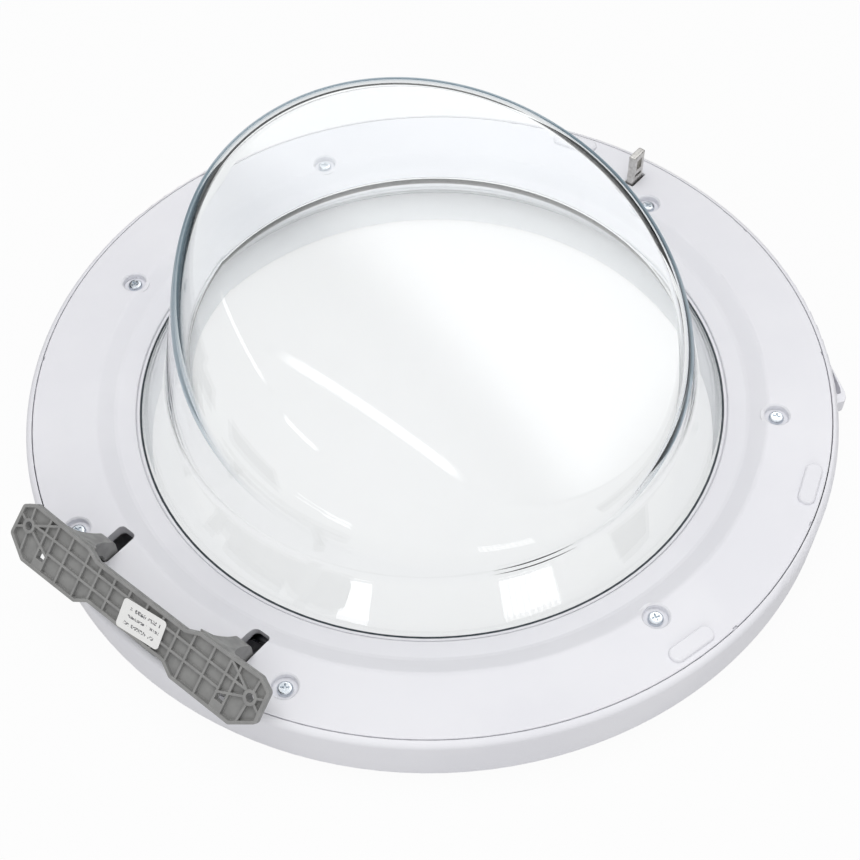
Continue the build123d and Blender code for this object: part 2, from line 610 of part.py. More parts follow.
def make_latch_spring():
    """Torsion spring round the latch pin with two straight legs."""
    path = Helix(SPRING_PITCH, SPRING_PITCH * SPRING_TURNS, SPRING_R)
    wire = sweep(Plane(path @ 0, z_dir=path % 0) * Circle(SPRING_WIRE_R), path)
    for point, way in ((path @ 0, -(path % 0)), (path @ 1, path % 1)):
        wire += Plane(point, z_dir=way) * Pos(0, 0, SPRING_LEG / 2) * Cylinder(SPRING_WIRE_R, SPRING_LEG)
    return Pos(LATCH_X, HOOK_Y + HOOK_T + SPRING_GAP, LATCH_Z) * Rot(-90, 0, 0) * wire


def grip_prism(points, low, high):
    """Prism over a polygon given as (angle, radius) points."""
    face = make_face(Polyline(*[polar(r, a) for a, r in points], close=True))
    return Pos(0, 0, low) * extrude(face, high - low)


def make_handle_grip():
    """White finger grip: a tapered tab through the rim, with a backing plate and two feet."""
    tab = grip_prism(GRIP_POINTS, *GRIP_Z)
    outer = tab.edges().filter_by(Axis.Z).sort_by(lambda e: -hypot(e.center().X, e.center().Y))
    tab = fillet(outer[0:3], GRIP_EDGE_R)
    inner_r, outer_r = GRIP_BACK
    low, high = GRIP_BACK_Z
    start, end = GRIP_BACK_ANGLES
    back = turned([(inner_r, low), (outer_r, low), (outer_r, high), (inner_r, high)], end - start)
    (first, neck_r), (last, _) = GRIP_NECK
    joint_r = inner_r + GRIP_SINK
    neck = grip_prism(((first, joint_r), (first, neck_r), (last, neck_r), (last, joint_r)), *GRIP_Z)
    body = tab + neck + Rot(0, 0, start) * back
    body -= grip_prism(GRIP_POCKET, GRIP_Z[1] - GRIP_POCKET_DEPTH, GRIP_Z[1] + 1)
    reach, wide = GRIP_FOOT_SIZE
    for angle in GRIP_FEET:
        foot = block((GRIP_FOOT_R - reach, -wide / 2, low), (joint_r, wide / 2, low + SHELL))
        body += Rot(0, 0, angle) * foot
    for x, y in grip_screw_places():
        body -= post(x, y, SCREW_HOLE_R, 0, TALL)
    return body


def make_parts():
    """All pieces of the door by name."""
    upper, lower = arm_centres()
    clip_y = EAR_GAP / 2 + SHEET + CLIP_T
    seat_z = FACE_Z - RECESS_DEPTH
    latch_clip_y = LATCH_CHEEKS[1] + LATCH_SHEET + CLIP_T
    return {
        "front_cover": make_front_cover(),
        "inner_ring": make_inner_ring(),
        "door_glass": make_door_glass(),
        "glass_seal": make_glass_seal(),
        "handle_grip": make_handle_grip(),
        "handle_screws": screws_at(grip_screw_places(), GRIP_BACK_Z[0] + SHELL, SHORT_SCREW_LENGTH),
        "ring_screws": screws_at(ring_screw_places(), seat_z, SCREW_LENGTH),
        "hinge_screws": screws_at(hinge_screw_places(), seat_z, SHORT_SCREW_LENGTH),
        "hinge_bracket": make_hinge_bracket(),
        "hinge_label": make_hinge_label(),
        "hinge_carrier": make_hinge_carrier(),
        "upper_hinge_pin": make_hinge_pin(upper),
        "lower_hinge_pin": make_hinge_pin(lower),
        "upper_hinge_bush": make_hinge_bush(upper),
        "lower_hinge_bush": make_hinge_bush(lower),
        "upper_pin_clip": make_pin_clip(PIVOT_X, upper - clip_y, PIVOT_Z, PIN_R),
        "lower_pin_clip": make_pin_clip(PIVOT_X, lower - clip_y, PIVOT_Z, PIN_R),
        "latch_hook": make_latch_hook(),
        "latch_holder": make_latch_holder(),
        "latch_screws": screws_at(latch_screw_places(), LATCH_BASE_Z + LATCH_SHEET, SHORT_SCREW_LENGTH),
        "latch_pin": make_latch_pin(),
        "latch_pin_clip": make_pin_clip(LATCH_X, latch_clip_y, LATCH_Z, LATCH_PIN_R),
        "latch_spring": make_latch_spring(),
    }


os.makedirs("parts", exist_ok=True)
for name, shape in make_parts().items():
    export_step(Compound(children=shape) if isinstance(shape, list) else shape, f"parts/{name}.step")
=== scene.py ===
"""Looks of a front-loader door that lies on its front face.

The rim is white plastic and the bowl is pressed glass.
The hinge is grey moulded plastic and the latch is plated steel.
All lengths are in metres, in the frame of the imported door: +Z up, hinge towards -X, latch towards +X.
"""

import logging
import math
from dataclasses import dataclass, replace
from enum import Enum
from typing import Any, Dict, List, Optional, Sequence, Tuple, Union

import bpy
import numpy as np
from mathutils import Matrix, Vector


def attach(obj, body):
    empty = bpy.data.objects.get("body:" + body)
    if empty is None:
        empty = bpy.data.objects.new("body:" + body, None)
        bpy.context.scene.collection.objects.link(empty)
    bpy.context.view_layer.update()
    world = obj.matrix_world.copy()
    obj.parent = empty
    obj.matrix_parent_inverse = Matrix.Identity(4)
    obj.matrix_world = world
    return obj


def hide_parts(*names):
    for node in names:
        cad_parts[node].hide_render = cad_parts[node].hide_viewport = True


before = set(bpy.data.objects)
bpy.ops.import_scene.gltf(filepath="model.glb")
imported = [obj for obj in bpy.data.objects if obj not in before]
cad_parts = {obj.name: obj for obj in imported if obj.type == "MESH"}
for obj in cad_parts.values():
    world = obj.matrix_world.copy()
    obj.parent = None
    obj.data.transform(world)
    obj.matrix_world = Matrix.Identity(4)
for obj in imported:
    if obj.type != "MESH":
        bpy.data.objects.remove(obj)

MM = 0.001
# Mesh attribute that marks the rounded rim of the glass, where its painted dark reflection goes.
RIM_MASK = "rim_mask"
SAME_DIRECTION = 1e-9
LOG = logging.getLogger("door")

Colour = Tuple[float, float, float, float]
Point = Tuple[float, float, float]
Line = Tuple[float, float, float]


class Body(Enum):
    """Bodies of the door that carry pieces made here."""

    DOOR = "door"
    HINGE = "hinge"


class Glow(Enum):
    """Pattern of light on a studio card."""

    SOFT = "soft"
    PANES = "panes"
    SLATS = "slats"


class Wire:
    """A shader socket that can be added, multiplied and compared like a number."""

    def __init__(self, tree: "ShaderTree", socket: bpy.types.NodeSocket) -> None:
        """Keep the socket and the tree that it belongs to."""
        self.tree = tree
        self.socket = socket

    def _math(self, operation: str, first: "Value", second: "Value") -> "Wire":
        """Add one Math node on two values."""
        return self.tree.node("ShaderNodeMath", {"operation": operation}, {0: first, 1: second})

    def __add__(self, other: "Value") -> "Wire":
        """Sum."""
        return self._math("ADD", self, other)

    def __radd__(self, other: "Value") -> "Wire":
        """Sum with the number first."""
        return self._math("ADD", other, self)

    def __sub__(self, other: "Value") -> "Wire":
        """Difference."""
        return self._math("SUBTRACT", self, other)

    def __rsub__(self, other: "Value") -> "Wire":
        """Difference with the number first."""
        return self._math("SUBTRACT", other, self)

    def __mul__(self, other: "Value") -> "Wire":
        """Product."""
        return self._math("MULTIPLY", self, other)

    def __rmul__(self, other: "Value") -> "Wire":
        """Product with the number first."""
        return self._math("MULTIPLY", other, self)

    def __truediv__(self, other: "Value") -> "Wire":
        """Quotient."""
        return self._math("DIVIDE", self, other)

    def __rtruediv__(self, other: "Value") -> "Wire":
        """Quotient with the number first."""
        return self._math("DIVIDE", other, self)

    def __pow__(self, other: "Value") -> "Wire":
        """Power."""
        return self._math("POWER", self, other)

    def __gt__(self, other: "Value") -> "Wire":
        """1 where this is greater, else 0."""
        return self._math("GREATER_THAN", self, other)

    def __lt__(self, other: "Value") -> "Wire":
        """1 where this is smaller, else 0."""
        return self._math("LESS_THAN", self, other)

    def __abs__(self) -> "Wire":
        """Size without its sign."""
        return self._math("ABSOLUTE", self, 0.0)

    def wave(self) -> "Wire":
        """Sine."""
        return self._math("SINE", self, 0.0)

    def higher(self, other: "Value") -> "Wire":
        """The larger of two values."""
        return self._math("MAXIMUM", self, other)

    def ramp(self, low: float, high: float, start: float = 0.0, end: float = 1.0) -> "Wire":
        """Map a span of this value smoothly on to another span.

        Args:
            low: Value that maps on to start.
            high: Value that maps on to end.
            start: Result at and below low.
            end: Result at and above high.

        Returns:
            The mapped value.
        """
        spans = {"From Min": low, "From Max": high, "To Min": start, "To Max": end, "Value": self}
        return self.tree.node("ShaderNodeMapRange", {"interpolation_type": "SMOOTHSTEP"}, spans)


Value = Union[Wire, float]
ColourValue = Union[Wire, Colour]


class ShaderTree:
    """Builds one shader tree, of a material or of the world."""

    def __init__(self, tree: bpy.types.NodeTree) -> None:
        """Start from an empty tree."""
        self.tree = tree
        tree.nodes.clear()

    def node(
        self,
        kind: str,
        settings: Optional[Dict[str, Any]] = None,
        sockets: Optional[Dict[Union[int, str], Any]] = None,
        output: Union[int, str] = 0,
    ) -> Wire:
        """Add a node.

        Args:
            kind: Blender's type of the node.
            settings: Properties of the node, set before its sockets.
            sockets: Values or wires of its input sockets.
            output: The output socket to hand back.

        Returns:
            The chosen output as a wire.
        """
        made = self.tree.nodes.new(kind)
        for name, value in (settings or {}).items():
            setattr(made, name, value)
        for name, value in (sockets or {}).items():
            if isinstance(value, Wire):
                self.tree.links.new(value.socket, made.inputs[name])
            else:
                made.inputs[name].default_value = value
        return Wire(self, made.outputs[output] if made.outputs else None)

    def place(self) -> Wire:
        """Position on the piece itself, in metres."""
        return self.node("ShaderNodeTexCoord", output="Object")

    def stretched(self, scale: Point) -> Wire:
        """Position with each axis multiplied by its own factor."""
        return self.node("ShaderNodeMapping", {}, {"Vector": self.place(), "Scale": scale})

    def noise(self, size: float, detail: float = 2.0, place: Optional[Wire] = None) -> Wire:
        """Add a cloudy pattern.

        Args:
            size: Width of one cloud in metres.
            detail: Number of finer layers.
            place: Position to read, or the piece's own.

        Returns:
            A value from 0 to 1.
        """
        sockets = {"Vector": place or self.place(), "Scale": 1.0 / size, "Detail": detail}
        return self.node("ShaderNodeTexNoise", {}, sockets)

    def blend(self, share: Value, first: ColourValue, second: ColourValue) -> Wire:
        """Mix two colours.

        Args:
            share: 0 for the first colour and 1 for the second.
            first: Colour at 0.
            second: Colour at 1.

        Returns:
            The mixed colour.
        """
        return self.node("ShaderNodeMix", {"data_type": "RGBA"}, {0: share, 6: first, 7: second}, 2)

    def axis(self, vector: Wire, index: int) -> Wire:
        """One axis of a vector."""
        return self.node("ShaderNodeSeparateXYZ", {}, {0: vector}, index)

    def rounded(self, radius: float) -> Wire:
        """Surface normal with sharp edges rounded off by a radius."""
        return self.node("ShaderNodeBevel", {"samples": 6}, {"Radius": radius}, "Normal")

    def edges(self, radius: float) -> Wire:
        """Mask that is 1 on sharp edges and 0 on flat faces."""
        true = self.node("ShaderNodeNewGeometry", output="Normal")
        sockets = {0: self.rounded(radius), 1: true}
        match = self.node("ShaderNodeVectorMath", {"operation": "DOT_PRODUCT"}, sockets, "Value")
        return (1.0 - match).ramp(0.01, 0.22)

    def bump(self, height: Wire, depth: float, normal: Optional[Wire] = None) -> Wire:
        """Add relief to a surface.

        Args:
            height: Value from 0 to 1.
            depth: Depth of the relief in metres.
            normal: Normal to start from.

        Returns:
            The new normal.
        """
        sockets = {"Height": height, "Distance": depth, "Strength": 1.0}
        if normal is not None:
            sockets["Normal"] = normal
        return self.node("ShaderNodeBump", {}, sockets, "Normal")

    def principled(self, sockets: Dict[str, Any]) -> Wire:
        """Add the main surface shader."""
        return self.node("ShaderNodeBsdfPrincipled", {}, sockets, "BSDF")

    def mixed(self, share: Value, first: Wire, second: Wire) -> Wire:
        """Mix two shaders."""
        return self.node("ShaderNodeMixShader", {}, {0: share, 1: first, 2: second})

    def show(self, surface: Wire, kind: str = "ShaderNodeOutputMaterial") -> None:
        """Join a shader to the tree's output."""
        self.node(kind, {}, {"Surface": surface})


def new_material(name: str) -> Tuple[bpy.types.Material, ShaderTree]:
    """Make an empty node material.

    Args:
        name: Name of the finish.

    Returns:
        The material and its tree.
    """
    material = bpy.data.materials.new(name)
    material.use_nodes = True
    return material, ShaderTree(material.node_tree)


@dataclass(frozen=True)
class MouldedPlastic:
    """Moulded plastic with an eroded grain, cloudy colour, a painted highlight on its edges and, where a bore
    radius is given, a near-white colour inside it that is painted light.
    """

    name: str
    colour: Colour
    shade: Colour
    # Paler colour painted on sharp edges as a highlight, and how much of it they get.
    edge_highlight_colour: Colour
    painted_edge_share: float
    edge_radius: float
    cloud_size: float
    roughness: float
    roughness_swing: float
    grain_size: float
    grain_depth: float
    specular: float = 0.5
    # Radius inside which the colour is painted near white as light, and that colour; a radius of 0 leaves it
    # off.
    bore_painted_light_r: float = 0.0
    bore_painted_light_colour: Colour = (1, 1, 1, 1)

    def material(self) -> bpy.types.Material:
        """Make the node material.

        Returns:
            The finished material.
        """
        material, tree = new_material(self.name)
        cloud = tree.noise(self.cloud_size, 4.0).ramp(0.3, 0.7)
        grain = tree.noise(self.grain_size, 3.0)
        colour = tree.blend(cloud, self.colour, self.shade)
        # Painted highlight: sharp edges are made paler, as if they catch the light.
        edge = tree.edges(self.edge_radius) * self.painted_edge_share
        colour = tree.blend(edge, colour, self.edge_highlight_colour)
        # Painted light: inside the bore radius the plastic turns near white, standing in for light on the
        # cover's bore wall under the glass.
        if self.bore_painted_light_r:
            place = tree.place()
            radius = (tree.axis(place, 0) ** 2.0 + tree.axis(place, 1) ** 2.0) ** 0.5
            colour = tree.blend(radius < self.bore_painted_light_r, colour, self.bore_painted_light_colour)
        low = self.roughness - self.roughness_swing
        roughness = cloud.ramp(0.0, 1.0, low, self.roughness + self.roughness_swing)
        normal = tree.bump(grain, self.grain_depth, tree.rounded(self.edge_radius))
        tree.show(tree.principled({
            "Base Color": colour,
            "Roughness": roughness,
            "Normal": normal,
            "Specular IOR Level": self.specular,
        }))
        return material


@dataclass(frozen=True)
class PlatedMetal:
    """Plated or bare steel with drawn scratches and slightly uneven gloss."""

    name: str
    colour: Colour
    shade: Colour
    roughness: float
    roughness_swing: float
    scratch: Point
    scratch_depth: float
    edge_radius: float

    def material(self) -> bpy.types.Material:
        """Make the node material.

        Returns:
            The finished material.
        """
        material, tree = new_material(self.name)
        scratch = tree.noise(1.0, 3.0, tree.stretched(tuple(1.0 / s for s in self.scratch)))
        stain = tree.noise(2.5 * MM, 3.0).ramp(0.35, 0.7)
        colour = tree.blend(stain, self.colour, self.shade)
        low = self.roughness - self.roughness_swing
        roughness = scratch.ramp(0.2, 0.8, low, self.roughness + self.roughness_swing)
        normal = tree.bump(scratch, self.scratch_depth, tree.rounded(self.edge_radius))
        tree.show(tree.principled({
            "Base Color": colour, "Metallic": 1.0, "Roughness": roughness, "Normal": normal,
        }))
        return material


@dataclass(frozen=True)
class PressedGlass:
    """Clear pressed glass with faint ripples, a trace of handling film, a cool tint in its depth and a
    painted dark blue-grey reflection where its rounded rim is seen edge-on.
    """

    name: str
    tint: Colour
    film: Colour
    index: float
    ripple_size: float
    ripple_depth: float
    film_size: float
    film_roughness: float
    depth_colour: Colour
    depth_density: float
    shadow_tint: Colour
    # Colour, share, facing span and roughness of the painted dark reflection on the rounded rim.
    rim_reflection_tint: Colour
    painted_edge_share: float
    rim_reflection_span: Tuple[float, float] = (0.4, 0.75)
    rim_reflection_roughness: float = 0.3

    def material(self) -> bpy.types.Material:
        """Make the node material, which lets lamp light through to what stands behind.

        Returns:
            The finished material.
        """
        material, tree = new_material(self.name)
        ripple = tree.noise(self.ripple_size, 1.0)
        film = tree.noise(self.film_size, 3.0).ramp(0.45, 0.8)
        glass = tree.principled({
            "Base Color": tree.blend(film, self.tint, self.film),
            "Roughness": film * self.film_roughness,
            "IOR": self.index,
            "Transmission Weight": 1.0,
            "Normal": tree.bump(ripple, self.ripple_depth),
        })
        clear = tree.node("ShaderNodeBsdfTransparent", {}, {"Color": self.shadow_tint})
        shadow = tree.node("ShaderNodeLightPath", output="Is Shadow Ray")
        absorption = {"Color": self.depth_colour, "Density": self.depth_density}
        depth = tree.node("ShaderNodeVolumeAbsorption", {}, absorption)
        # Painted reflection: on the rounded rim, seen edge-on, the glass turns into a dull blue-grey surface.
        rim = tree.node("ShaderNodeAttribute", {"attribute_name": RIM_MASK}, output="Fac")
        grazing = tree.node("ShaderNodeLayerWeight", {}, {"Blend": 0.5}, "Facing").ramp(*self.rim_reflection_span)
        edge = tree.principled({"Base Color": self.rim_reflection_tint, "Roughness": self.rim_reflection_roughness})
        glass = tree.mixed(rim * grazing * self.painted_edge_share, glass, edge)
        surface = tree.mixed(shadow, glass, clear)
        tree.node("ShaderNodeOutputMaterial", {}, {"Surface": surface, "Volume": depth})
        return material


@dataclass(frozen=True)
class LabelPaper:
    """White label paper with rows of plain dashes in place of print."""

    name: str
    paper: Colour
    fibre: Colour
    ink: Colour
    rows: Tuple[Tuple[float, float, float, float], ...]
    word: float
    stroke: float
    word_gap: float = 0.4
    stroke_gap: float = 0.5
    roughness: Tuple[float, float] = (0.42, 0.55)

    def material(self) -> bpy.types.Material:
        """Make the node material, read in the label's own plane.

        Returns:
            The finished material.
        """
        material, tree = new_material(self.name)
        place = tree.place()
        x, y = tree.axis(place, 0), tree.axis(place, 1)
        fibre = tree.noise(0.5 * MM, 4.0).ramp(0.35, 0.75)
        printed: Value = 0.0
        for index, (middle, height, left, right) in enumerate(self.rows):
            in_row = (abs(y - middle) < height / 2) * (x > left) * (x < right)
            words = tree.noise(self.word, 0.0, tree.node("ShaderNodeCombineXYZ", {}, {0: x, 1: index * 0.05}))
            marks = tree.noise(self.stroke, 0.0)
            printed = printed + in_row * (words > self.word_gap) * (marks > self.stroke_gap)
        colour = tree.blend(fibre, self.paper, self.fibre)
        colour = tree.blend(printed, colour, self.ink)
        normal = tree.bump(fibre, 0.01 * MM)
        roughness = fibre.ramp(0, 1, *self.roughness)
        tree.show(tree.principled({"Base Color": colour, "Roughness": roughness, "Normal": normal}))
        return material


# The third colour of each plastic is its paler edge colour, a painted highlight.
WHITE_PLASTIC = MouldedPlastic(
    "white_plastic", (0.83, 0.83, 0.865, 1), (0.80, 0.80, 0.84, 1), (0.88, 0.88, 0.90, 1), 0.5, 0.5 * MM,
    60 * MM, 0.40, 0.05, 0.35 * MM, 0.004 * MM, 0.32,
)
# The cover's bore under the glass is painted near white: painted light where the glass keeps it in shade.
COVER_PLASTIC = replace(
    WHITE_PLASTIC, name="cover_plastic", bore_painted_light_r=172 * MM, bore_painted_light_colour=(0.97, 0.97, 0.98, 1),
)
GREY_MOULDING = MouldedPlastic(
    "grey_moulding", (0.285, 0.285, 0.28, 1), (0.245, 0.245, 0.242, 1), (0.44, 0.44, 0.43, 1),
    0.75, 0.35 * MM, 6 * MM, 0.5, 0.07, 0.25 * MM, 0.012 * MM,
)
BUSH_PLASTIC = MouldedPlastic(
    "bush_plastic", (0.62, 0.60, 0.54, 1), (0.55, 0.53, 0.47, 1), (0.7, 0.68, 0.62, 1), 0.4, 0.2 * MM,
    3 * MM, 0.42, 0.06, 0.2 * MM, 0.006 * MM,
)
SEAL_RUBBER = MouldedPlastic(
    "seal_rubber", (0.035, 0.045, 0.055, 1), (0.025, 0.034, 0.042, 1), (0.06, 0.07, 0.08, 1), 0.3, 0.15 * MM,
    4 * MM, 0.55, 0.06, 0.3 * MM, 0.006 * MM,
)
ZINC = PlatedMetal(
    "zinc_screws", (0.72, 0.76, 0.80, 1), (0.58, 0.63, 0.68, 1), 0.26, 0.08,
    (0.25 * MM, 0.25 * MM, 0.25 * MM), 0.008 * MM, 0.15 * MM,
)
NICKEL = PlatedMetal(
    "nickel_hook", (0.66, 0.65, 0.63, 1), (0.52, 0.51, 0.49, 1), 0.30, 0.08,
    (0.12 * MM, 0.12 * MM, 4 * MM), 0.006 * MM, 0.3 * MM,
)
SHEET_STEEL = PlatedMetal(
    "sheet_steel", (0.60, 0.61, 0.62, 1), (0.50, 0.51, 0.53, 1), 0.36, 0.08,
    (0.2 * MM, 6 * MM, 0.2 * MM), 0.008 * MM, 0.25 * MM,
)
PIN_STEEL = PlatedMetal(
    "pin_steel", (0.55, 0.56, 0.57, 1), (0.44, 0.45, 0.47, 1), 0.24, 0.06,
    (0.15 * MM, 0.15 * MM, 0.15 * MM), 0.005 * MM, 0.15 * MM,
)
# The last colour and share give the painted dark blue-grey reflection on the rounded rim.
CLEAR_GLASS = PressedGlass(
    "clear_glass", (0.993, 0.997, 0.997, 1), (0.98, 0.985, 0.985, 1), 1.5, 70 * MM, 0.03 * MM, 90 * MM, 0.03,
    (0.62, 0.80, 0.87, 1), 8.0, (0.985, 0.99, 0.992, 1), (0.34, 0.46, 0.54, 1), 0.8,
)
LABEL_PAPER = LabelPaper(
    "paper_label", (0.83, 0.83, 0.82, 1), (0.78, 0.78, 0.77, 1), (0.10, 0.10, 0.11, 1),
    (
        (3.9 * MM, 1.9 * MM, -8.5 * MM, 11.0 * MM),
        (0.1 * MM, 1.3 * MM, -11.0 * MM, 11.5 * MM),
        (-3.9 * MM, 1.7 * MM, -10.0 * MM, 10.0 * MM),
    ),
    4.0 * MM, 0.55 * MM,
)


def dress(names: Sequence[str], finish: Union[MouldedPlastic, PlatedMetal]) -> None:
    """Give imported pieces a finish.

    Args:
        names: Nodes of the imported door.
        finish: The finish that they share.
    """
    material = finish.material()
    for name in names:
        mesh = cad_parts[name].data
        mesh.materials.clear()
        mesh.materials.append(material)
        LOG.info("%s: %s", name, finish.name)


def rectangle(half_x: float, half_y: float, height: float) -> np.ndarray:
    """Corners of a level rectangle round the origin.

    Args:
        half_x: Half of its width.
        half_y: Half of its depth.
        height: Height that it lies at.

    Returns:
        The four corners, one row each.
    """
    signs = ((-1, -1), (1, -1), (1, 1), (-1, 1))
    return np.array([(x * half_x, y * half_y, height) for x, y in signs])


def add_mesh(
    name: str, points: np.ndarray, faces: List[Sequence[int]], material: bpy.types.Material,
) -> bpy.types.Object:
    """Make a smooth mesh piece in the scene.

    Args:
        name: Name of the piece.
        points: Vertices, one row each.
        faces: Vertex numbers of each face.
        material: Its material.

    Returns:
        The new object.
    """
    mesh = bpy.data.meshes.new(name)
    mesh.from_pydata([tuple(p) for p in points], [], faces)
    mesh.polygons.foreach_set("use_smooth", [True] * len(mesh.polygons))
    mesh.materials.append(material)
    piece = bpy.data.objects.new(name, mesh)
    bpy.context.scene.collection.objects.link(piece)
    return piece


@dataclass
class GlassBowl:
    """Pressed glass bowl: flange, flared foot, leaning wall, rounded rim and slanted domed end."""

    thickness: float = 5.0 * MM
    flange_r: float = 184.0 * MM
    flange_z: float = 19.5 * MM
    flange_edge: float = 1.2 * MM
    wall_r: float = 152.6 * MM
    wall_z: float = 27.5 * MM
    wall_slope: float = 0.206
    flare_r: float = 165.0 * MM
    flare_z: float = 27.0 * MM
    flare_top_z: float = 52.0 * MM
    flare_top_round: float = 12.0 * MM
    foot_round: float = 10.0 * MM
    end_z: float = 118.1 * MM
    end_tilt: float = 18.1
    end_direction: float = 80.0
    dome_r: float = 900.0 * MM
    rim_r: float = 135.0 * MM
    rim_round: float = 14.0 * MM
    soft_round: float = 44.0 * MM
    soft_side: float = -168.0
    turns: int = 320
    edge_rings: int = 7
    bend_rings: int = 13
    wall_rings: int = 30
    rim_rings: int = 30
    dome_rings: int = 27

    def flare_slope(self) -> float:
        """Widening of the flared foot for each unit of height."""
        top_r = self.wall_r - self.wall_slope * (self.flare_top_z - self.wall_z)
        return (self.flare_r - top_r) / (self.flare_top_z - self.flare_z)

    @staticmethod
    def section_line(lean: float, radius: float, height: float) -> Line:
        """Section line through a point, leaning inwards from the vertical.

        Args:
            lean: Angle from the vertical.
            radius: Radius of the point.
            height: Height of the point.

        Returns:
            The line as a, b and c of a r + b z = c.
        """
        return math.cos(lean), math.sin(lean), math.cos(lean) * radius + math.sin(lean) * height

    @staticmethod
    def corner(lower: Line, upper: Line) -> Tuple[float, float]:
        """Meeting point of two section lines.

        Args:
            lower: First line as a, b and c of a r + b z = c.
            upper: Second line in the same form.

        Returns:
            Radius and height of the point.
        """
        radius, height = np.linalg.solve([lower[:2], upper[:2]], [lower[2], upper[2]])
        return float(radius), float(height)

    def section(self) -> Tuple[np.ndarray, np.ndarray]:
        """Outer section from the flange's edge to the foot of the plain wall.

        Returns:
            Points and outward normals, each as radius and height.
        """
        top = self.flange_z + self.thickness
        flare, wall = math.atan(self.flare_slope()), math.atan(self.wall_slope)
        flat = (0.0, 1.0, top)
        foot = self.section_line(flare, self.flare_r, self.flare_z)
        side = self.section_line(wall, self.wall_r, self.wall_z)
        edge_r = self.flange_r - self.flange_edge
        edge_z = top - self.flange_edge
        points: List[Tuple[float, float]] = []
        normals: List[Tuple[float, float]] = []
        for angle in np.linspace(0.0, math.pi / 2, self.edge_rings):
            across, along = math.cos(angle), math.sin(angle)
            normals.append((across, along))
            points.append((edge_r + self.flange_edge * across, edge_z + self.flange_edge * along))
        bends = (
            (flat, foot, self.foot_round, math.pi / 2, flare),
            (foot, side, self.flare_top_round, flare, wall),
        )
        for lower, upper, size, start, end in bends:
            centre = self.corner((*lower[:2], lower[2] + size), (*upper[:2], upper[2] + size))
            for angle in np.linspace(start, end, self.bend_rings):
                normals.append((math.cos(angle), math.sin(angle)))
                points.append((centre[0] - size * math.cos(angle), centre[1] - size * math.sin(angle)))
        return np.array(points), np.array(normals)

    def end_centre(self) -> Tuple[np.ndarray, np.ndarray]:
        """Centre of the end's dome and the direction that the dome faces."""
        lean, side = math.radians(self.end_tilt), math.radians(self.end_direction)
        level = -math.sin(lean)
        facing = np.array([level * math.cos(side), level * math.sin(side), math.cos(lean)])
        sag = self.dome_r - math.sqrt(self.dome_r**2 - self.rim_r**2)
        return facing * (sag - self.dome_r) + np.array([0.0, 0.0, self.end_z]), facing

    def rim_size(self, turn: np.ndarray) -> np.ndarray:
        """Rounding of the rim, which is wider on the low side.

        Args:
            turn: Angles round the bowl.

        Returns:
            Radius at each angle, as a column.
        """
        low = np.maximum(np.cos(turn - math.radians(self.soft_side)), 0.0)
        share = low * low * (3 - 2 * low)
        return (self.rim_round + (self.soft_round - self.rim_round) * share)[:, None]

    def outer_skin(self) -> Tuple[np.ndarray, np.ndarray]:
        """Outer skin as rings of points from the flange's edge to the middle of the end.

        Returns:
            Points and outward normals, by ring, turn and axis.
        """
        turn = np.arange(self.turns) * (2 * math.pi / self.turns)
        out = np.stack([np.cos(turn), np.sin(turn), np.zeros_like(turn)], axis=1)
        up = np.array([0.0, 0.0, 1.0])
        rings, facings = [], []
        for (radius, height), (across, along) in zip(*self.section()):
            rings.append(out * radius + up * height)
            facings.append(out * across + up * along)
        wall = math.atan(self.wall_slope)
        wall_normal = out * math.cos(wall) + up * math.sin(wall)
        centre, facing = self.end_centre()
        size = self.rim_size(turn)
        axis_r = self.wall_r + self.wall_slope * self.wall_z - size / math.cos(wall)
        start, step = out * axis_r - centre, up - out * self.wall_slope
        a, b = (step * step).sum(1), (start * step).sum(1)
        c = (start * start).sum(1) - (self.dome_r - size[:, 0])**2
        height = (np.sqrt(b * b - a * c) - b) / a
        ball = start + centre + step * height[:, None]
        lowest, highest = rings[-1], ball + wall_normal * size
        for share in np.linspace(0.0, 1.0, self.wall_rings)[1:-1]:
            rings.append(lowest + (highest - lowest) * share)
            facings.append(wall_normal)
        dome_normal = (ball - centre) / (self.dome_r - size)
        for share in np.linspace(0.0, 1.0, self.rim_rings + 1):
            normal = self.between(wall_normal, dome_normal, share)
            rings.append(ball + normal * size)
            facings.append(normal)
        for share in np.linspace(0.0, 1.0, self.dome_rings + 1)[1:]:
            normal = self.between(dome_normal, np.broadcast_to(facing, dome_normal.shape), share)
            rings.append(centre + normal * self.dome_r)
            facings.append(normal)
        return np.array(rings), np.array(facings)

    def rim_mask(self, ring_count: int) -> np.ndarray:
        """Mark the rounded rim on the outer skin, where the glass gets its painted dark reflection.

        Args:
            ring_count: Number of rings of one skin, with its pole.

        Returns:
            1 on the points of the rounded rim and 0 elsewhere, in the order of the mesh.
        """
        skin = np.zeros(ring_count)
        first = ring_count - 1 - self.dome_rings - self.rim_rings
        skin[first:first + self.rim_rings + 1] = 1.0
        both = np.concatenate([skin[::-1][1:], np.zeros(ring_count - 1)])
        return np.concatenate([np.repeat(both, self.turns), np.zeros(2)])

    @staticmethod
    def between(first: np.ndarray, second: np.ndarray, share: float) -> np.ndarray:
        """Unit vectors turned part of the way from one set to another.

        Args:
            first: Unit vectors at share 0.
            second: Unit vectors at share 1.
            share: Part of the way.

        Returns:
            The turned unit vectors.
        """
        angle = np.arccos(np.clip((first * second).sum(1), -1.0, 1.0))[:, None]
        safe = np.where(angle < SAME_DIRECTION, 1.0, angle)
        turned = (np.sin((1 - share) * safe) * first + np.sin(share * safe) * second) / np.sin(safe)
        return np.where(angle < SAME_DIRECTION, first, turned)

